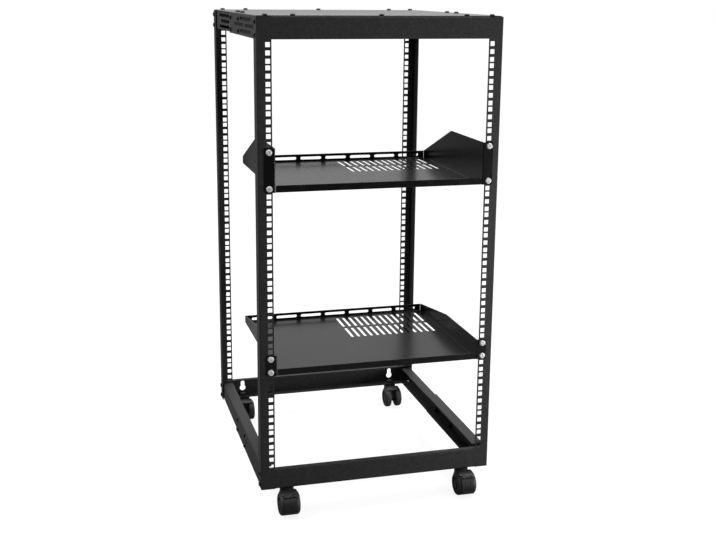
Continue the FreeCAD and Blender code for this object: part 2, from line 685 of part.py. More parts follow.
def make_vents(bottom):
    """Cutters for the rows of vent slots in the right half of a shelf floor."""
    through = (bottom - CUT_PAST, bottom + SHELF_SHEET + CUT_PAST)
    pitch = (SHELF_INSIDE - VENT_SIDE_MARGIN - VENT_FIRST_X) / (VENT_COUNT - 1)
    vents = []
    for number in range(VENT_COUNT):
        for row in range(VENT_ROWS):
            end = SHELF_REAR - VENT_REAR_MARGIN - row * (VENT_LENGTH + VENT_BAR)
            vents.append(
                floor_slot(VENT_FIRST_X + number * pitch, end - VENT_LENGTH, end, through, VENT_WIDTH)
            )
    return vents


def make_slope(lip_top, top):
    """A cutter that slopes both sides of a shelf down to the rear lip."""
    flat_end = FRONT + SHELF_SIDE_FLAT
    behind = SHELF_REAR + CUT_PAST
    above = top + CUT_PAST
    corners = [(flat_end, top), (SHELF_REAR, lip_top), (behind, lip_top), (behind, above), (flat_end, above)]
    points = [Vector(-SHELF_PANEL_HALF, y, z) for y, z in corners + corners[:1]]
    return Part.Face(Part.makePolygon(points)).extrude(Vector(2 * SHELF_PANEL_HALF, 0, 0))


def make_shelf(holes):
    """A folded shelf: floor, raised front and rear lips, sloping sides and bolting ears."""
    screw_heights = [hole_height(number) for number in holes]
    bottom = min(screw_heights) - SHELF_BEYOND_SCREW
    top = max(screw_heights) + SHELF_BEYOND_SCREW
    rear_top = bottom + SHELF_REAR_LIP
    tray = cut_all(make_tray(bottom, top), make_vents(bottom)).cut(make_slope(rear_top, top))
    front_lip = make_lip(bottom, bottom + SHELF_FRONT_LIP, SHELF_FACE, 1)
    rear_lip = cut_lip_slots(make_lip(bottom, rear_top, SHELF_REAR, -1), rear_top)
    ear = make_ear(bottom, top, screw_heights)
    return join([tray, front_lip, rear_lip, ear, mirror_x(ear)])


def make_cage_nut():
    """A cage nut along +Z with its plug below the origin and its cage above it."""
    plug = HOLE_SIDE / 2 - CAGE_PLUG_GAP
    wing = HOLE_SIDE / 2 + CAGE_WING
    front = box((-plug, plug), (-plug, plug), (-CAGE_PLUG_DEPTH, 0))
    back = box((-wing, wing), (-plug, plug), (0, CAGE_DEPTH))
    bore = rod(M6_RADIUS + THREAD_GAP, Vector(0, 0, -CAGE_PLUG_DEPTH), Vector(0, 0, CAGE_DEPTH))
    return join([front, back]).cut(bore)


def shelf_fasteners():
    """The bright screws through the shelf ears and the cage nuts behind the posts."""
    cage_nut = make_cage_nut()
    backward = Vector(0, 1, 0)
    screws = []
    nuts = []
    for number in UPPER_SHELF_HOLES + LOWER_SHELF_HOLES:
        height = hole_height(number)
        left_screw = pointed(PAN_SCREW, Vector(HOLE_X, SHELF_FACE, height), backward)
        left_nut = pointed(cage_nut, Vector(HOLE_X, FRONT_INSIDE, height), backward)
        screws.extend([left_screw, mirror_x(left_screw)])
        nuts.extend([left_nut, mirror_x(left_nut)])
    return Part.makeCompound(screws), Part.makeCompound(nuts)


# Casters, drawn with the stud axis at X 0, Y 0 and the wheels trailing towards -Y
def around_axle(angle, radius):
    """The point at ANGLE from straight up, towards the trailing side, at RADIUS from the axle."""
    turn = math.radians(angle)
    y = -CASTER_TRAIL - radius * math.sin(turn)
    return Vector(0, y, WHEEL_RADIUS + radius * math.cos(turn))


def ring_part(inner, outer, start, end, width):
    """A curved plate around the axle between two angles, WIDTH wide across the caster."""
    middle = (start + end) / 2
    edges = []
    for radius in (inner, outer):
        points = [around_axle(angle, radius) for angle in (start, middle, end)]
        edges.append(Part.Arc(*points).toShape())
    for angle in (start, end):
        edges.append(Part.makeLine(around_axle(angle, inner), around_axle(angle, outer)))
    face = Part.Face(Part.Wire(Part.__sortEdges__(edges)))
    face.translate(Vector(-width / 2, 0, 0))
    return face.extrude(Vector(width, 0, 0))


def soft_sides(plate, outer, radius):
    """A curved plate with the two side edges of its outer face, of radius OUTER, rounded."""
    sides = []
    for edge in plate.Edges:
        if isinstance(edge.Curve, Part.Circle) and abs(edge.Curve.Radius - outer) < SAME_PLACE:
            sides.append(edge)
    return plate.makeFillet(radius, sides)


def across(radius, width, centre):
    """A round bar along X, WIDTH long, centred on CENTRE."""
    start = centre - Vector(width / 2, 0, 0)
    return rod(radius, start, start + Vector(width, 0, 0))


AXLE = around_axle(0, 0)
BRAKE_HINGE = around_axle(BRAKE_HINGE_ANGLE, BRAKE_HINGE_RADIUS)


def wheel_spaces():
    """The room kept free for the two wheels."""
    spaces = []
    for side in (-1, 1):
        start = AXLE + Vector(side * FIN_WIDTH / 2, 0, 0)
        spaces.append(rod(HOOD_INSIDE, start, AXLE + Vector(side * HOOD_WIDTH, 0, 0)))
    return spaces


def make_caster_body(braked):
    """The moulded caster body: neck, stud socket, axle fin, hood and, if braked, a hinge lug."""
    half = FIN_WIDTH / 2
    neck = rod(NECK_RADIUS, Vector(0, 0, NECK_TOP - NECK_HEIGHT), Vector(0, 0, NECK_TOP))
    socket = rod(SOCKET_RADIUS, Vector(0, 0, PIVOT_HOLE_BOTTOM - SOCKET_FLOOR), Vector(0, 0, NECK_TOP))
    hub = across(FIN_HUB_RADIUS, FIN_WIDTH, AXLE)
    fin = box((-half, half), (AXLE.y - half, 0), (AXLE.z, AXLE.z + HOOD_INSIDE))
    hood = ring_part(HOOD_INSIDE - HOOD_ROOT, HOOD_OUTSIDE, HOOD_BACK_ANGLE, HOOD_FRONT_ANGLE, HOOD_WIDTH)
    hood = soft_sides(hood, HOOD_OUTSIDE, HOOD_EDGE_ROUND)
    solids = [neck, socket, hub, fin, hood]
    if braked:
        lug_start = HOOD_FRONT_ANGLE - BRAKE_LUG_OVERLAP
        solids.append(across(BRAKE_KNUCKLE_RADIUS, BRAKE_LUG_WIDTH, BRAKE_HINGE))
        solids.append(
            ring_part(FIN_HUB_RADIUS, BRAKE_HINGE_RADIUS, lug_start, BRAKE_HINGE_ANGLE, BRAKE_LUG_WIDTH)
        )
    body = cut_all(join(solids), wheel_spaces())
    bores = [rod(PIVOT_RADIUS + RUNNING_GAP, Vector(0, 0, PIVOT_HOLE_BOTTOM), Vector(0, 0, NECK_TOP))]
    bores.append(across(AXLE_RADIUS + RUNNING_GAP, FIN_WIDTH, AXLE))
    if braked:
        bores.append(across(BRAKE_PIN_RADIUS + RUNNING_GAP, BRAKE_LUG_WIDTH, BRAKE_HINGE))
    return cut_all(body, bores).removeSplitter()


def make_wheel():
    """The right wheel of a caster, closed on its outer side."""
    wheel = rod(WHEEL_RADIUS, AXLE + Vector(WHEEL_INNER_X, 0, 0), AXLE + Vector(WHEEL_OUTER_X, 0, 0))
    wheel = wheel.makeFillet(WHEEL_EDGE_ROUND, rim_edges(wheel, "x", WHEEL_OUTER_X))
    wheel = wheel.makeFillet(WHEEL_INNER_ROUND, rim_edges(wheel, "x", WHEEL_INNER_X))
    dish_start = AXLE + Vector(WHEEL_OUTER_X - WHEEL_DISH_DEPTH, 0, 0)
    dish_end = AXLE + Vector(WHEEL_OUTER_X + CUT_PAST, 0, 0)
    dish = rod(WHEEL_DISH_RADIUS, dish_start, dish_end).cut(rod(WHEEL_HUB_RADIUS, dish_start, dish_end))
    bore_start = AXLE + Vector(WHEEL_INNER_X - CUT_PAST, 0, 0)
    bore_end = AXLE + Vector(WHEEL_OUTER_X - WHEEL_CAP, 0, 0)
    return wheel.cut(dish).cut(rod(AXLE_RADIUS + RUNNING_GAP, bore_start, bore_end))


def make_stud():
    """The steel stud: threaded above the collar, swivel pivot below it."""
    collar_bottom = FRAME_BOTTOM - COLLAR_HEIGHT
    pivot_bottom = PIVOT_HOLE_BOTTOM + PIVOT_END_GAP
    pivot = rod(PIVOT_RADIUS, Vector(0, 0, pivot_bottom), Vector(0, 0, collar_bottom))
    collar = rod(COLLAR_RADIUS, Vector(0, 0, collar_bottom), Vector(0, 0, FRAME_BOTTOM))
    thread = rod(STUD_RADIUS, Vector(0, 0, FRAME_BOTTOM), Vector(0, 0, FRAME_BOTTOM + STUD_LENGTH))
    return join([pivot, collar, thread])


def make_brake():
    """The brake pedal: a curved shield over both treads on a hinge below the hood."""
    toe_start = BRAKE_END_ANGLE - BRAKE_TOE_SWEEP
    shield = ring_part(HOOD_INSIDE, HOOD_OUTSIDE, BRAKE_START_ANGLE, BRAKE_END_ANGLE, BRAKE_WIDTH)
    shield = soft_sides(shield, HOOD_OUTSIDE, BRAKE_EDGE_ROUND)
    toe = ring_part(HOOD_INSIDE, HOOD_OUTSIDE + BRAKE_TOE, toe_start, BRAKE_END_ANGLE, BRAKE_WIDTH)
    toe = soft_sides(toe, HOOD_OUTSIDE + BRAKE_TOE, BRAKE_EDGE_ROUND)
    knuckle = across(BRAKE_KNUCKLE_RADIUS, BRAKE_WIDTH, BRAKE_HINGE)
    pedal = join([shield, toe, knuckle])
    room = across(
        BRAKE_KNUCKLE_RADIUS + BRAKE_SIDE_GAP, BRAKE_LUG_WIDTH + 2 * BRAKE_SIDE_GAP, BRAKE_HINGE
    )
    return cut_all(pedal, [room, across(BRAKE_PIN_RADIUS + RUNNING_GAP, BRAKE_WIDTH, BRAKE_HINGE)])


def make_stud_nut():
    """The nut of a caster stud, two of its flats square to Y, standing on the beam flange."""
    nut = hex_nut(STUD_NUT_ACROSS, STUD_NUT_HEIGHT, STUD_RADIUS + THREAD_GAP)
    nut.rotate(Vector(0, 0, 0), Vector(0, 0, 1), 90)
    return nut.translated(Vector(0, 0, FRAME_BOTTOM + FRAME_SHEET))


CASTER_PLACES = {
    "front_left": Vector(-CASTER_X, FRONT + CASTER_SETBACK, 0),
    "front_right": Vector(CASTER_X, FRONT + CASTER_SETBACK, 0),
    "rear_left": Vector(-CASTER_X, -FRONT - CASTER_SETBACK, 0),
    "rear_right": Vector(CASTER_X, -FRONT - CASTER_SETBACK, 0),
}


def make_casters():
    """Every caster piece by name."""
    wheel = make_wheel()
    plain = {
        "stud": make_stud(),
        "axle": across(AXLE_RADIUS, 2 * AXLE_END_X, AXLE),
        "wheel_right": wheel,
        "wheel_left": mirror_x(wheel),
    }
    bodies = {True: make_caster_body(True), False: make_caster_body(False)}
    brake = {
        "brake_pedal": make_brake(),
        "brake_pin": across(BRAKE_PIN_RADIUS, BRAKE_WIDTH - 2 * BRAKE_PIN_END, BRAKE_HINGE),
    }
    pieces = {}
    for corner, place in CASTER_PLACES.items():
        braked = corner.startswith("front")
        shapes = dict(plain)
        shapes["body"] = bodies[braked]
        if braked:
            shapes.update(brake)
        for name, shape in shapes.items():
            pieces["caster_" + corner + "_" + name] = shape.translated(place)
    nut = make_stud_nut()
    pieces["caster_nuts"] = Part.makeCompound([nut.translated(place) for place in CASTER_PLACES.values()])
    return pieces


def make_parts():
    """Every node of the rack by name."""
    parts = {}
    post = make_post()
    parts["post_front_left"] = post
    parts["post_front_right"] = mirror_x(post)
    parts["post_rear_left"] = mirror_y(post)
    parts["post_rear_right"] = mirror_x(mirror_y(post))
    top_beam = cut_cover_holes(make_beam(TOP_BEAM_BOTTOM, True))
    bottom_beam = cut_stud_holes(make_beam(FRAME_BOTTOM, False))
    parts["beam_front_top"] = top_beam
    parts["beam_front_bottom"] = bottom_beam
    parts["beam_rear_top"] = cut_keyholes(mirror_y(top_beam), TOP_BEAM_BOTTOM)
    parts["beam_rear_bottom"] = cut_keyholes(mirror_y(bottom_beam), FRAME_BOTTOM)
    for level, bottom in RAIL_BOTTOMS.items():
        upper = level == "top"
        drop = Vector(0, 0, bottom - TOP_BEAM_BOTTOM)
        for half, rail in (("front", make_front_rail(upper)), ("rear", make_rear_rail(upper))):
            parts["rail_" + half + "_left_" + level] = rail.translated(drop)
            parts["rail_" + half + "_right_" + level] = mirror_x(rail.translated(drop))
    parts["rail_shims"] = make_shims()
    parts["rail_end_screws"], parts["rail_end_nuts"] = rail_end_fasteners()
    parts["rail_joint_screws"], parts["rail_joint_nuts"] = rail_joint_fasteners()
    parts["top_cover"] = make_cover()
    parts["cover_screws"], parts["cover_nuts"] = cover_fasteners()
    parts["upper_shelf"] = make_shelf(UPPER_SHELF_HOLES)
    parts["lower_shelf"] = make_shelf(LOWER_SHELF_HOLES)
    parts["shelf_screws"], parts["shelf_cage_nuts"] = shelf_fasteners()
    parts.update(make_casters())
    return parts


PARTS = make_parts()
OVERALL = Part.makeCompound(list(PARTS.values())).optimalBoundingBox(False)
TO_CENTRE = Vector(0, -OVERALL.Center.y, 0)

os.makedirs("parts", exist_ok=True)
for node, shape in PARTS.items():
    shape.translated(TO_CENTRE).exportStep("parts/" + node + ".step")
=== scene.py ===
import json
import math

import bmesh
import bpy
from mathutils import Matrix, Vector


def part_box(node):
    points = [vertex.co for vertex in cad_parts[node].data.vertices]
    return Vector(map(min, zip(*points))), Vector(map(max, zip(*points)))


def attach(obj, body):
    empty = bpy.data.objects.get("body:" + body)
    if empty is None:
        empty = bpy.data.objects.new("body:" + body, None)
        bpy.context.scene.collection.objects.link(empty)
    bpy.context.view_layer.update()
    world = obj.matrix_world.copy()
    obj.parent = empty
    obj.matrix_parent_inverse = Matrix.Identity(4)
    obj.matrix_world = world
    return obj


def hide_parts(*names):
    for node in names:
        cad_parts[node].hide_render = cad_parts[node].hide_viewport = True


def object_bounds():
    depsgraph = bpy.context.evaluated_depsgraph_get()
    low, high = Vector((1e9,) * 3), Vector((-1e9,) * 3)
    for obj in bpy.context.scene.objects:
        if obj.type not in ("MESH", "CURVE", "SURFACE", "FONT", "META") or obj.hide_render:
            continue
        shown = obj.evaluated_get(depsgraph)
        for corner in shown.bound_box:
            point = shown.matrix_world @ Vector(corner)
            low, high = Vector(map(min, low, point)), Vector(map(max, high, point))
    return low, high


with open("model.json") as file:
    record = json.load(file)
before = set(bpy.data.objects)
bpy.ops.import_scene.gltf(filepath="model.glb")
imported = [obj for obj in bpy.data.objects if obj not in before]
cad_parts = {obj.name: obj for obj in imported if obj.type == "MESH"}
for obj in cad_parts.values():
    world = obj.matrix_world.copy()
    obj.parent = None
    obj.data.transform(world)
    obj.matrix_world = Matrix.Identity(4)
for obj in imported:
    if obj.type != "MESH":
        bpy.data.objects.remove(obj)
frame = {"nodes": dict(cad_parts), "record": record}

# An open-frame server rack on casters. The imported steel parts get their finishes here, and the caster
# wheels and brake pedals are modelled.
# Lengths are metres in the rack's own frame: X to the right, Y to the back, Z up.

MM = 0.001
CAD_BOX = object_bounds()
CENTRE = (CAD_BOX[0] + CAD_BOX[1]) / 2

# How near a point or a direction has to be to be picked
NEAR = 0.1 * MM
VERY_NEAR = 0.05 * MM
SAME_PLACE = 0.01 * MM
FACING = 0.9
EDGE_ON = 0.1

# Camera, fitted to the whole rack in a picture 716 pixels wide and 540 high
PICTURE_WIDTH = 716
SENSOR_WIDTH = 36.0
CAMERA_PLACE = Vector((-0.63608, -2.39602, 1.09065))
CAMERA_YAW = 0.269501
CAMERA_PITCH = 0.228509
CAMERA_ROLL = 0.009146
FOCAL_PIXELS = 1103.93
PIXELS_ABOVE_CENTRE = 25.0

# Casters
CORNERS = ("front_left", "front_right", "rear_left", "rear_right")
WHEEL_SIDES = 72
RIM_WIDTH = 8.0 * MM
RIM_ROUND = 6.0 * MM
RIM_ROUND_STEPS = 6
DISH_DEPTH = 2.0 * MM
DISH_DRAFT = 0.5 * MM
HUB_RADIUS = 8.5 * MM
HUB_RISE = 1.6 * MM
HUB_DRAFT = 0.5 * MM
CAP_LIP = 1.6 * MM
CAP_DEPTH = 0.7 * MM
RIB_COUNT = 6
RIB_STEPS = 2
RIB_RISE = 1.2 * MM
RIB_DRAFT = 0.25 * MM
TREAD_SHARE = 0.95
GROOVE_SETBACK = 6.4 * MM
GROOVE_DRAFT = 0.4 * MM
GROOVE_DEPTH = 0.5 * MM
INNER_ROUND = 4.0 * MM
INNER_ROUND_STEPS = 5
SMOOTH_ANGLE = math.radians(32)

# Brake pedals, measured from straight above the axle towards the front
SHIELD_INSIDE = 25.8 * MM
SHIELD_SHEET = 2.5 * MM
SHIELD_START = math.radians(41)
SHIELD_SWEEP = math.radians(77)
SHIELD_STEPS = 20
SHIELD_COLUMNS = 11
SHIELD_ROUND = 1.2 * MM
SHIELD_ROUND_STEPS = 3
TOE_STEPS = 2
TOE_RISE = 2.4 * MM
TOE_DRAFT = 0.2 * MM
RIDGE_COLUMNS = (3, 5, 7)
RIDGE_FIRST_STEP = 5
RIDGE_LAST_STEP = 15
RIDGE_RISE = 0.7 * MM
RIDGE_DRAFT = 0.3 * MM
KNUCKLE_RADIUS = 3.2 * MM
KNUCKLE_ANGLE = math.radians(40)
KNUCKLE_REACH = 29.2 * MM
KNUCKLE_GAP = 10.8 * MM
KNUCKLE_SIDES = 28
KNUCKLE_CHAMFER = 0.5 * MM
KNUCKLE_CHAMFER_STEPS = 2

# Painted shade behind the rail slots: how far from the outer face of a rear rail half it reaches
SLOT_SHADE_DEPTH = 0.7 * MM

# Powder coat: blobs to the metre, and the span of a noise value over which it goes from 0 to 1
PEEL_SCALE = 1300.0
GRAIN_SCALE = 260.0
GRAIN_SPAN = ((0.34, 0.0), (0.66, 1.0))
MOTTLE_SCALE = 14.0
SPECK_SCALE = 520.0
SPECK_SPAN = ((0.66, 0.0), (0.74, 1.0))
SCUFF_SCALE = 55.0
SCUFF_SPAN = ((0.56, 0.0), (0.72, 1.0))

# Refractive indices
COAT_IOR = 1.45
NYLON_IOR = 1.48

# Studio
FLOOR_SIDE = 60.0
FLOOR_GLOW = 0.87
FLOOR_NEAR = 1.5
FLOOR_FAR = 4.0
FLOOR_SHADOW_SHARE = 0.22
FLOOR_BOUNCE = 0.16
FLOOR_DIM_END = -0.6
FLOOR_WHITE_START = 0.6
ROOM_FRONT = 0.05
ROOM_BACK = 0.2
ROOM_IN_GLOSS = 0.45
FLOOR_IN_GLOSS = 0.1
ROOM_BEHIND = ((0.3, 0.0), (0.62, 1.0))
ROOM_ABOVE = ((0.2, 0.0), (0.7, 1.0))

# Soft boxes, all turned to the middle of the rack: place, width, height and watts
SOFT_BOXES = {
    "key": ((-2.4, -1.6, 2.6), 2.0, 2.0, 4.0),
    "fill": ((1.4, -1.1, 0.3), 1.0, 0.5, 18.0),
    "strip": ((0.5, -0.7, 2.6), 1.6, 0.3, 14.0),
    "top": ((0.3, 1.9, 2.9), 2.4, 2.4, 45.0),
    "left": ((-2.0, 0.3, 2.9), 1.2, 1.2, 60.0),
    "right": ((2.0, 0.3, 2.9), 1.2, 1.2, 50.0),
}


# Finishes written as sums of node outputs
class Signal:
    """One output of a shader node."""

    def __init__(self, finish, output):
        self.finish = finish
        self.output = output

    def __add__(self, other):
        return self.finish.math("ADD", self, other)

    def __radd__(self, other):
        return self.finish.math("ADD", other, self)

    def __sub__(self, other):
        return self.finish.math("SUBTRACT", self, other)

    def __rsub__(self, other):
        return self.finish.math("SUBTRACT", other, self)

    def __mul__(self, other):
        return self.finish.math("MULTIPLY", self, other)

    def __rmul__(self, other):
        return self.finish.math("MULTIPLY", other, self)


class Finish:
    """A node tree that shades one material or the room."""

    def __init__(self, owner):
        owner.use_nodes = True
        self.tree = owner.node_tree
        self.tree.nodes.clear()

    def node(self, kind, settings=None, inputs=None, output=0):
        """Adds a node: its settings first, then a value or a link for each of its inputs."""
        made = self.tree.nodes.new(kind)
        for name, value in (settings or {}).items():
            if name == "stops":
                self.set_stops(made.color_ramp.elements, value)
            else:
                setattr(made, name, value)
        for name, value in (inputs or {}).items():
            if isinstance(value, Signal):
                self.tree.links.new(value.output, made.inputs[name])
            else:
                made.inputs[name].default_value = value
        return Signal(self, made.outputs[output]) if made.outputs else None

    def set_stops(self, elements, stops):
        """Gives a colour ramp its stops, each a place and a grey level."""
        while len(elements) < len(stops):
            elements.new(1.0)
        for element, (place, level) in zip(elements, stops):
            element.position = place
            element.color = (level, level, level, 1.0)

    def math(self, operation, first, second):
        """A Math node on two values."""
        return self.node("ShaderNodeMath", {"operation": operation}, {0: first, 1: second})

    def place(self, stretch=(1.0, 1.0, 1.0)):
        """Object coordinates, stretched along each axis."""
        coordinates = self.node("ShaderNodeTexCoord", output="Object")
        return self.node("ShaderNodeMapping", inputs={"Vector": coordinates, "Scale": stretch})

    def noise(self, place, scale, detail=2.0):
        """A noise value about one half, with SCALE blobs to the metre."""
        return self.node("ShaderNodeTexNoise", inputs={"Vector": place, "Scale": scale, "Detail": detail})

    def ramp(self, value, stops):
        """VALUE taken through a ramp of grey levels."""
        return self.node("ShaderNodeValToRGB", {"stops": stops}, {"Fac": value})

    def blend(self, share, first, second):
        """The colour FIRST where SHARE is 0 and SECOND where it is 1."""
        settings = {"data_type": "RGBA"}
        return self.node("ShaderNodeMix", settings, {0: share, 6: first, 7: second}, output=2)

    def bump(self, height, strength, depth):
        """A surface normal from a height of up to DEPTH metres."""
        inputs = {"Height": height, "Strength": strength, "Distance": depth}
        return self.node("ShaderNodeBump", inputs=inputs)

    def surface(self, inputs):
        """Ends a material with its shader."""
        shader = self.node("ShaderNodeBsdfPrincipled", inputs=inputs)
        self.node("ShaderNodeOutputMaterial", inputs={"Surface": shader})


def grey(level, blue=1.0):
    """An opaque near-neutral colour."""
    return (level, level, level * blue, 1.0)


def slot_recess_shade(coat):
    """1 where the two halves of a side rail slide on each other, 0 elsewhere: where painted shade darkens
    the recess seen through the rail slots.
    """
    place = coat.place()
    across = coat.node("ShaderNodeSeparateXYZ", inputs={"Vector": place}, output="X")
    along = coat.node("ShaderNodeSeparateXYZ", inputs={"Vector": place}, output="Y")
    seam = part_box("rail_rear_right_top")[1].x
    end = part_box("rail_front_right_top")[1].y
    from_seam = coat.math("ABSOLUTE", coat.math("ABSOLUTE", across, 0.0) - seam, 0.0)
    return coat.math("LESS_THAN", from_seam, SLOT_SHADE_DEPTH) * coat.math("LESS_THAN", along, end)


def powder_coat(name, dark, light, rough, sand, scuff_stretch, painted_shade=None):
    """Black powder coat: sandy grain, mottling, dust specks, scuffs along one way, and painted shade
    (near black, less glossy) where the mask function in the last argument gives 1.
    """
    material = bpy.data.materials.new(name)
    coat = Finish(material)
    place = coat.place()
    peel = coat.noise(place, PEEL_SCALE, 2.0)
    grain = coat.ramp(coat.noise(place, GRAIN_SCALE, 4.0), GRAIN_SPAN)
    mottle = coat.noise(place, MOTTLE_SCALE, 4.0)
    specks = coat.ramp(coat.noise(place, SPECK_SCALE, 1.0), SPECK_SPAN)
    stroke = coat.noise(coat.place(scuff_stretch), SCUFF_SCALE, 3.0)
    scuffs = coat.ramp(stroke, SCUFF_SPAN)
    tone = coat.blend(mottle * (1.0 - sand) + grain * sand, grey(dark), grey(light, 1.04))
    dusted = coat.blend(specks * 0.1 + scuffs * 0.06, tone, grey(0.1))
    gloss_loss = (mottle * 0.14 + scuffs * 0.11 + peel * 0.09) * rough
    # Painted shade: the faces behind the rail slots are turned near black and less glossy, standing in
    # for the shade in that recess
    if painted_shade:
        shade_mask = painted_shade(coat)
        dusted = coat.blend(shade_mask, dusted, grey(0.002))
        gloss_loss = gloss_loss + shade_mask * 0.4
    coat.surface({
        "Base Color": dusted,
        "Roughness": rough + gloss_loss,
        "IOR": COAT_IOR,
        "Normal": coat.bump(peel + grain * sand, 0.05 + 0.65 * sand, 0.12 * MM),
    })
    return material


def black_oxide(name):
    """Blackened screw steel, worn a little at random."""
    material = bpy.data.materials.new(name)
    steel = Finish(material)
    place = steel.place()
    cloud = steel.noise(place, 260.0, 3.0)
    worn = steel.ramp(steel.noise(place, 900.0, 2.0), ((0.58, 0.0), (0.75, 1.0)))
    steel.surface({
        "Base Color": steel.blend(worn * 0.4, grey(0.006), grey(0.05)),
        "Metallic": 0.1 + worn * 0.3,
        "Roughness": 0.46 + cloud * 0.16,
        "Normal": steel.bump(cloud, 0.2, 0.05 * MM),
    })
    return material


def plated(name, dark, light, rough, grain, metallic):
    """Plated steel: bright, with a fine clouded grain."""
    material = bpy.data.materials.new(name)
    plate = Finish(material)
    place = plate.place()
    cells = plate.node("ShaderNodeTexVoronoi", inputs={"Vector": place, "Scale": grain})
    cloud = plate.noise(place, 320.0, 3.0)
    plate.surface({
        "Base Color": plate.blend(cells * 0.5 + cloud * 0.5, grey(dark, 1.03), grey(light, 0.98)),
        "Metallic": metallic,
        "Roughness": rough + cloud * 0.14,
        "Normal": plate.bump(cells + cloud, 0.12, 0.04 * MM),
    })
    return material


def moulded(name, dark, light, rough):
    """Moulded nylon with a spark-eroded grain."""
    material = bpy.data.materials.new(name)
    nylon = Finish(material)
    place = nylon.place()
    grain = nylon.noise(place, 2600.0, 2.0)
    flow = nylon.noise(nylon.place((1.0, 1.0, 0.35)), 130.0, 3.0)
    nylon.surface({
        "Base Color": nylon.blend(flow, grey(dark), grey(light)),
        "Roughness": rough + flow * 0.12 + grain * 0.06,
        "IOR": NYLON_IOR,
        "Normal": nylon.bump(grain, 0.22, 0.08 * MM),
    })
    return material


def rolled_nylon(name):
    """Wheel nylon, greyed with dust and scuffs where the tread attribute says it rolls."""
    material = bpy.data.materials.new(name)
    nylon = Finish(material)
    place = nylon.place()
    tread = nylon.node("ShaderNodeAttribute", {"attribute_name": "tread"}, output="Fac")
    grain = nylon.noise(place, 2200.0, 2.0)
    grit = nylon.ramp(nylon.noise(place, 700.0, 3.0), ((0.42, 0.0), (0.68, 1.0)))
    moulding = nylon.blend(grain, grey(0.012), grey(0.020))
    nylon.surface({
        "Base Color": nylon.blend(tread * (0.25 + grit * 0.5), moulding, grey(0.075, 0.96)),
        "Roughness": 0.40 + grain * 0.08 + tread * (0.12 + grit * 0.14),
        "IOR": NYLON_IOR,
        "Normal": nylon.bump(grain * 0.5 + tread * grit, 0.25, 0.09 * MM),
    })
    return material


FINISHES = {
    "frame_coat": powder_coat("frame_coat", 0.010, 0.032, 0.56, 0.7, (1.0, 1.0, 0.2)),
    "rail_coat": powder_coat("rail_coat", 0.008, 0.024, 0.51, 0.5, (1.0, 0.15, 1.0), slot_recess_shade),
    "cover_coat": powder_coat("cover_coat", 0.012, 0.024, 0.19, 0.1, (0.3, 1.0, 1.0)),
    "shelf_coat": powder_coat("shelf_coat", 0.004, 0.007, 0.20, 0.05, (1.0, 0.12, 1.0)),
    "black_screw": black_oxide("black_screw"),
    "bright_screw": plated("bright_screw", 0.92, 0.99, 0.42, 1500.0, 0.15),
    "zinc_steel": plated("zinc_steel", 0.10, 0.20, 0.42, 900.0, 1.0),
    "caster_nylon": moulded("caster_nylon", 0.012, 0.019, 0.36),
    "pedal_nylon": moulded("pedal_nylon", 0.013, 0.021, 0.33),
    "wheel_nylon": rolled_nylon("wheel_nylon"),
}


def dress_frame():
    """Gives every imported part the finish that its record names."""
    for row in frame["record"]["subparts"]:
        part = frame["nodes"][row["node"]]
        part.data.materials.clear()
        part.data.materials.append(FINISHES[row["material_slot"]])


# Modelling by hand
def only(piece):
    """Makes PIECE the one selected object."""
    bpy.ops.object.select_all(action="DESELECT")
    piece.select_set(True)
    bpy.context.view_layer.objects.active = piece


def begin(name):
    """Names the primitive just added, puts its place into its mesh and opens it for editing."""
    piece = bpy.context.object
    piece.name = name
    bpy.ops.object.transform_apply(location=True, rotation=True, scale=True)
    bpy.ops.object.mode_set(mode="EDIT")
    return piece


def close():
    """Ends editing and smooths the soft edges."""
    bpy.ops.object.mode_set(mode="OBJECT")
    bpy.ops.object.shade_smooth_by_angle(angle=SMOOTH_ANGLE)


def pick_faces(piece, wanted):
    """Selects the faces that WANTED accepts."""
    bpy.ops.mesh.select_mode(type="FACE")
    bpy.ops.mesh.select_all(action="DESELECT")
    mesh = bmesh.from_edit_mesh(piece.data)
    mesh.faces.ensure_lookup_table()
    for face in mesh.faces:
        face.select = bool(wanted(face))
    mesh.select_flush_mode()
    bmesh.update_edit_mesh(piece.data)


def pick_edges(piece, wanted):
    """Selects the edges that WANTED accepts."""
    bpy.ops.mesh.select_mode(type="EDGE")
    bpy.ops.mesh.select_all(action="DESELECT")
    mesh = bmesh.from_edit_mesh(piece.data)
    for edge in mesh.edges:
        edge.select = bool(wanted(edge))
    mesh.select_flush_mode()
    bmesh.update_edit_mesh(piece.data)


def copy_of(piece, name, move):
    """A copy of PIECE with its own mesh, every point taken through the matrix MOVE."""
    copy = piece.copy()
    copy.data = piece.data.copy()
    copy.name = name
    copy.data.transform(move)
    bpy.context.collection.objects.link(copy)
    if move.determinant() < 0:
        only(copy)
        bpy.ops.object.mode_set(mode="EDIT")
        bpy.ops.mesh.select_all(action="SELECT")
        bpy.ops.mesh.normals_make_consistent(inside=False)
        bpy.ops.object.mode_set(mode="OBJECT")
    return copy


def finish_piece(piece, body, slot, *nodes):
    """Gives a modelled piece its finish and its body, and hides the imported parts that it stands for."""
    piece.data.materials.clear()
    piece.data.materials.append(FINISHES[slot])
    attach(piece, body)
    if nodes:
        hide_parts(*nodes)


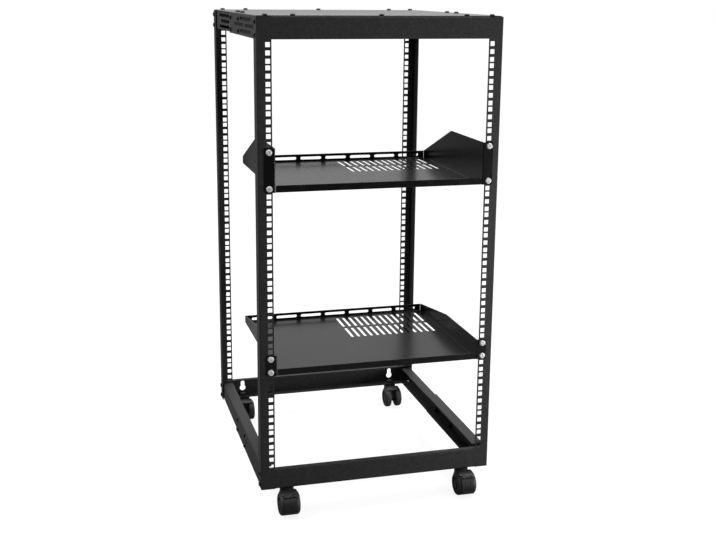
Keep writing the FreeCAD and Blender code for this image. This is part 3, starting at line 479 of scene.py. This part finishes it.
# Wheels
def model_wheel(node):
    """A right caster wheel: grooved tread, dished outer face with ribs, and a hub cap."""
    low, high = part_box(node)
    axle = (low + high) / 2
    radius = (high.z - low.z) / 2
    width = high.x - low.x
    bpy.ops.object.select_all(action="DESELECT")
    bpy.ops.mesh.primitive_cylinder_add(
        vertices=WHEEL_SIDES, radius=radius, depth=width, location=axle, rotation=(0, math.pi / 2, 0))
    wheel = begin("wheel")

    def reach(point):
        """How far POINT lies from the axle line."""
        return math.hypot(point.y - axle.y, point.z - axle.z)

    def on_outer_rim(edge):
        return all(abs(v.co.x - high.x) < NEAR and reach(v.co) > radius - NEAR for v in edge.verts)

    def on_inner_rim(edge):
        return all(abs(v.co.x - low.x) < NEAR and reach(v.co) > radius - NEAR for v in edge.verts)

    def on_tread(face):
        return abs(face.normal.x) < EDGE_ON and reach(face.calc_center_median()) > radius * TREAD_SHARE

    pick_faces(wheel, lambda face: face.normal.x > FACING)
    bpy.ops.mesh.inset(thickness=RIM_WIDTH, depth=0)
    bpy.ops.mesh.inset(thickness=DISH_DRAFT, depth=-DISH_DEPTH)
    bpy.ops.mesh.inset(thickness=radius - RIM_WIDTH - DISH_DRAFT - HUB_RADIUS, depth=0)
    bpy.ops.mesh.inset(thickness=HUB_DRAFT, depth=HUB_RISE)
    bpy.ops.mesh.inset(thickness=CAP_LIP, depth=0)
    bpy.ops.mesh.inset(thickness=HUB_DRAFT, depth=-CAP_DEPTH)
    bpy.ops.mesh.inset(thickness=CAP_LIP, depth=CAP_DEPTH / 2)
    dish = high.x - DISH_DEPTH
    spacing = WHEEL_SIDES // RIB_COUNT

    def on_rib(face):
        centre = face.calc_center_median()
        if abs(centre.x - dish) > NEAR or face.normal.x < FACING:
            return False
        turn = math.atan2(centre.z - axle.z, centre.y - axle.y) % (2 * math.pi)
        step = int(turn * WHEEL_SIDES / (2 * math.pi))
        return step % spacing < RIB_STEPS

    pick_faces(wheel, on_rib)
    bpy.ops.mesh.inset(thickness=RIB_DRAFT, depth=RIB_RISE)
    pick_faces(wheel, on_tread)
    bpy.ops.mesh.inset(thickness=GROOVE_SETBACK, depth=0)
    bpy.ops.mesh.inset(thickness=GROOVE_DRAFT, depth=-GROOVE_DEPTH)
    pick_edges(wheel, on_outer_rim)
    bpy.ops.mesh.bevel(offset=RIM_ROUND, segments=RIM_ROUND_STEPS, affect="EDGES")
    pick_edges(wheel, on_inner_rim)
    bpy.ops.mesh.bevel(offset=INNER_ROUND, segments=INNER_ROUND_STEPS, affect="EDGES")
    close()
    tread = wheel.data.attributes.new("tread", "FLOAT", "POINT")
    for vertex in wheel.data.vertices:
        tread.data[vertex.index].value = max(0.0, 1.0 - (radius - reach(vertex.co)) / RIM_ROUND)
    return wheel


def fit_wheels():
    """Models one wheel and copies it to both sides of every caster."""
    first = "caster_front_left_wheel_right"
    pattern = model_wheel(first)
    low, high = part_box(first)
    middle = (low + high) / 2
    for corner in CORNERS:
        for side in ("left", "right"):
            node = "caster_" + corner + "_wheel_" + side
            low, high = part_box(node)
            move = Matrix.Translation((low + high) / 2)
            if side == "left":
                move = move @ Matrix.Diagonal((-1.0, 1.0, 1.0, 1.0))
            wheel = copy_of(pattern, node + "_moulding", move @ Matrix.Translation(-middle))
            finish_piece(wheel, node, "wheel_nylon", node)
    bpy.data.objects.remove(pattern)


# Brake pedals
def model_pedal(node):
    """A brake pedal: a ridged shield around the wheels, a raised toe and two hinge knuckles."""
    low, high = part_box(node)
    width = high.x - low.x
    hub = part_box(node.replace("brake_pedal", "axle"))
    axle = (hub[0] + hub[1]) / 2

    def around(angle, reach):
        """The point at ANGLE from straight above the axle, towards the front."""
        return axle + Vector((0.0, -math.sin(angle), math.cos(angle))) * reach

    def reach(point):
        return math.hypot(point.y - axle.y, point.z - axle.z)

    def step(point):
        """Which step of the shield POINT lies in, counted from the hinge."""
        angle = math.atan2(axle.y - point.y, point.z - axle.z)
        return math.floor((angle - SHIELD_START) / SHIELD_SWEEP * SHIELD_STEPS)

    outside = SHIELD_INSIDE + SHIELD_SHEET
    middle = SHIELD_INSIDE + SHIELD_SHEET / 2

    def faces_out(face):
        centre = face.calc_center_median()
        away = (centre - axle).normalized()
        return abs(reach(centre) - outside) < VERY_NEAR and face.normal.yz.dot(away.yz) > FACING

    bpy.ops.object.select_all(action="DESELECT")
    bpy.ops.mesh.primitive_grid_add(
        x_subdivisions=SHIELD_COLUMNS, y_subdivisions=1, size=1, location=around(SHIELD_START, middle),
        rotation=(math.pi / 2 + SHIELD_START, 0, 0))
    bpy.ops.transform.resize(value=(width, SHIELD_SHEET, 1), orient_type="LOCAL")
    pedal = begin("pedal")
    bpy.ops.mesh.select_all(action="SELECT")
    bpy.ops.mesh.spin(steps=SHIELD_STEPS, angle=-SHIELD_SWEEP, center=axle, axis=(1, 0, 0))
    bpy.ops.mesh.select_all(action="SELECT")
    bpy.ops.mesh.remove_doubles(threshold=SAME_PLACE)
    bpy.ops.mesh.normals_make_consistent(inside=False)

    def on_side_edge(edge):
        ends = [vertex.co for vertex in edge.verts]
        at_side = all(min(abs(end.x - low.x), abs(end.x - high.x)) < NEAR for end in ends)
        return at_side and all(abs(reach(end) - outside) < NEAR for end in ends)

    def on_toe(face):
        return faces_out(face) and step(face.calc_center_median()) >= SHIELD_STEPS - TOE_STEPS

    pick_edges(pedal, on_side_edge)
    bpy.ops.mesh.bevel(offset=SHIELD_ROUND, segments=SHIELD_ROUND_STEPS, affect="EDGES")
    pick_faces(pedal, on_toe)
    bpy.ops.mesh.inset(thickness=TOE_DRAFT, depth=TOE_RISE)

    def on_ridge(face):
        centre = face.calc_center_median()
        column = int((centre.x - low.x) / width * SHIELD_COLUMNS)
        inside = RIDGE_FIRST_STEP <= step(centre) < RIDGE_LAST_STEP
        return faces_out(face) and inside and column in RIDGE_COLUMNS

    pick_faces(pedal, on_ridge)
    bpy.ops.mesh.inset(thickness=RIDGE_DRAFT, depth=RIDGE_RISE)
    bpy.ops.object.mode_set(mode="OBJECT")
    hinge = around(KNUCKLE_ANGLE, KNUCKLE_REACH)
    length = (width - KNUCKLE_GAP) / 2
    for side in (-1, 1):
        place = hinge + Vector((side * (KNUCKLE_GAP + length) / 2, 0, 0))
        bpy.ops.object.select_all(action="DESELECT")
        bpy.ops.mesh.primitive_cylinder_add(
            vertices=KNUCKLE_SIDES, radius=KNUCKLE_RADIUS, depth=length, location=place,
            rotation=(0, math.pi / 2, 0))
        knuckle = begin("knuckle")
        pick_edges(knuckle, lambda edge: abs(edge.verts[0].co.x - edge.verts[1].co.x) < SAME_PLACE)
        bpy.ops.mesh.bevel(offset=KNUCKLE_CHAMFER, segments=KNUCKLE_CHAMFER_STEPS, affect="EDGES")
        bpy.ops.object.mode_set(mode="OBJECT")
        unite(pedal, knuckle)
    only(pedal)
    bpy.ops.object.shade_smooth_by_angle(angle=SMOOTH_ANGLE)
    return pedal


def unite(piece, other):
    """Fuses OTHER into PIECE."""
    only(piece)
    bpy.ops.object.modifier_add(type="BOOLEAN")
    fuse = piece.modifiers[-1]
    fuse.operation = "UNION"
    fuse.solver = "EXACT"
    fuse.object = other
    bpy.ops.object.modifier_apply(modifier=fuse.name)
    bpy.data.objects.remove(other)


def fit_pedals():
    """Models the left brake pedal and copies it to both front casters."""
    first = "caster_front_left_brake_pedal"
    pattern = model_pedal(first)
    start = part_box(first)[0]
    for side in ("left", "right"):
        node = "caster_front_" + side + "_brake_pedal"
        move = Matrix.Translation(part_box(node)[0] - start)
        pedal = copy_of(pattern, node + "_moulding", move)
        finish_piece(pedal, node, "pedal_nylon", node)
    bpy.data.objects.remove(pattern)


# Studio
def shows_white(finish, in_gloss):
    """1 for rays that the picture itself shows, IN_GLOSS for mirrored rays and 0 for rays that light."""
    straight = finish.node("ShaderNodeLightPath", output="Is Camera Ray")
    through = finish.node("ShaderNodeLightPath", output="Is Transmission Ray")
    mirrored = finish.node("ShaderNodeLightPath", output="Is Glossy Ray")
    return finish.math("MAXIMUM", finish.math("MAXIMUM", straight, through), mirrored * in_gloss)


def make_floor():
    """A white floor that keeps a soft shadow."""
    bpy.ops.object.select_all(action="DESELECT")
    bpy.ops.mesh.primitive_plane_add(size=FLOOR_SIDE)
    floor = bpy.context.object
    floor.name = "floor"
    material = bpy.data.materials.new("white_floor")
    paint = Finish(material)
    measure = {"operation": "LENGTH"}
    distance = paint.node("ShaderNodeVectorMath", measure, {0: paint.place()}, output="Value")
    stops = ((FLOOR_NEAR / FLOOR_FAR, FLOOR_GLOW), (1.0, 1.0))
    paleness = paint.ramp(distance * (1.0 / FLOOR_FAR), stops)
    glow = paint.node("ShaderNodeEmission", inputs={"Color": paleness})
    shade = paint.node("ShaderNodeBsdfDiffuse", inputs={"Color": grey(FLOOR_SHADOW_SHARE)})
    seen = paint.node("ShaderNodeAddShader", inputs={0: glow, 1: shade})
    bounce = paint.node("ShaderNodeBsdfDiffuse", inputs={"Color": grey(FLOOR_BOUNCE)})
    depth = paint.node("ShaderNodeSeparateXYZ", inputs={"Vector": paint.place()}, output="Y")
    span = FLOOR_WHITE_START - FLOOR_DIM_END
    behind = paint.ramp((depth - FLOOR_DIM_END) * (1.0 / span), ((0.0, 0.0), (1.0, 1.0)))
    share = shows_white(paint, behind * FLOOR_IN_GLOSS)
    mixed = paint.node("ShaderNodeMixShader", inputs={"Fac": share, 1: bounce, 2: seen})
    paint.node("ShaderNodeOutputMaterial", inputs={"Surface": mixed})
    floor.data.materials.append(material)


def make_room():
    """White behind the rack and above it, dim low in front, and plain white for the picture itself."""
    world = bpy.data.worlds.new("room")
    bpy.context.scene.world = world
    room = Finish(world)
    direction = room.node("ShaderNodeTexCoord", output="Generated")
    backwards = room.node("ShaderNodeSeparateXYZ", inputs={"Vector": direction}, output="Y")
    upwards = room.node("ShaderNodeSeparateXYZ", inputs={"Vector": direction}, output="Z")
    behind = room.ramp(backwards * 0.5 + 0.5, ROOM_BEHIND)
    above = room.ramp(upwards, ROOM_ABOVE)
    bright = room.math("MAXIMUM", behind, above)
    level = ROOM_FRONT + bright * (ROOM_BACK - ROOM_FRONT)
    white = room.node("ShaderNodeBackground", inputs={"Color": grey(1.0), "Strength": 1.0})
    fill = room.node("ShaderNodeBackground", inputs={"Color": level, "Strength": 1.0})
    share = shows_white(room, bright * ROOM_IN_GLOSS)
    mixed = room.node("ShaderNodeMixShader", inputs={"Fac": share, 1: fill, 2: white})
    room.node("ShaderNodeOutputWorld", inputs={"Surface": mixed})


def soft_light(name, place, width, height, watts):
    """A soft box at PLACE, turned to the middle of the rack."""
    lamp = bpy.data.lights.new(name, "AREA")
    lamp.shape = "RECTANGLE"
    lamp.size = width
    lamp.size_y = height
    lamp.energy = watts
    light = bpy.data.objects.new(name, lamp)
    light.location = place
    light.rotation_euler = (CENTRE - light.location).to_track_quat("-Z", "Y").to_euler()
    light.visible_camera = False
    bpy.context.collection.objects.link(light)


def make_camera():
    """The photograph's camera."""
    ahead = Vector((
        math.sin(CAMERA_YAW) * math.cos(CAMERA_PITCH),
        math.cos(CAMERA_YAW) * math.cos(CAMERA_PITCH),
        -math.sin(CAMERA_PITCH),
    ))
    level = Vector((math.cos(CAMERA_YAW), -math.sin(CAMERA_YAW), 0.0))
    upright = level.cross(ahead)
    right = math.cos(CAMERA_ROLL) * level + math.sin(CAMERA_ROLL) * upright
    up = math.cos(CAMERA_ROLL) * upright - math.sin(CAMERA_ROLL) * level
    lens = bpy.data.cameras.new("camera")
    lens.sensor_width = SENSOR_WIDTH
    lens.lens = FOCAL_PIXELS / PICTURE_WIDTH * SENSOR_WIDTH
    lens.shift_y = -PIXELS_ABOVE_CENTRE / PICTURE_WIDTH
    camera = bpy.data.objects.new("camera", lens)
    turn = Matrix((right, up, -ahead)).transposed().to_4x4()
    camera.matrix_world = Matrix.Translation(CAMERA_PLACE) @ turn
    bpy.context.collection.objects.link(camera)
    bpy.context.scene.camera = camera


dress_frame()
fit_wheels()
fit_pedals()
make_floor()
make_room()
for name, (place, width, height, watts) in SOFT_BOXES.items():
    soft_light(name, place, width, height, watts)
make_camera()
bpy.context.scene.view_settings.view_transform = "Standard"
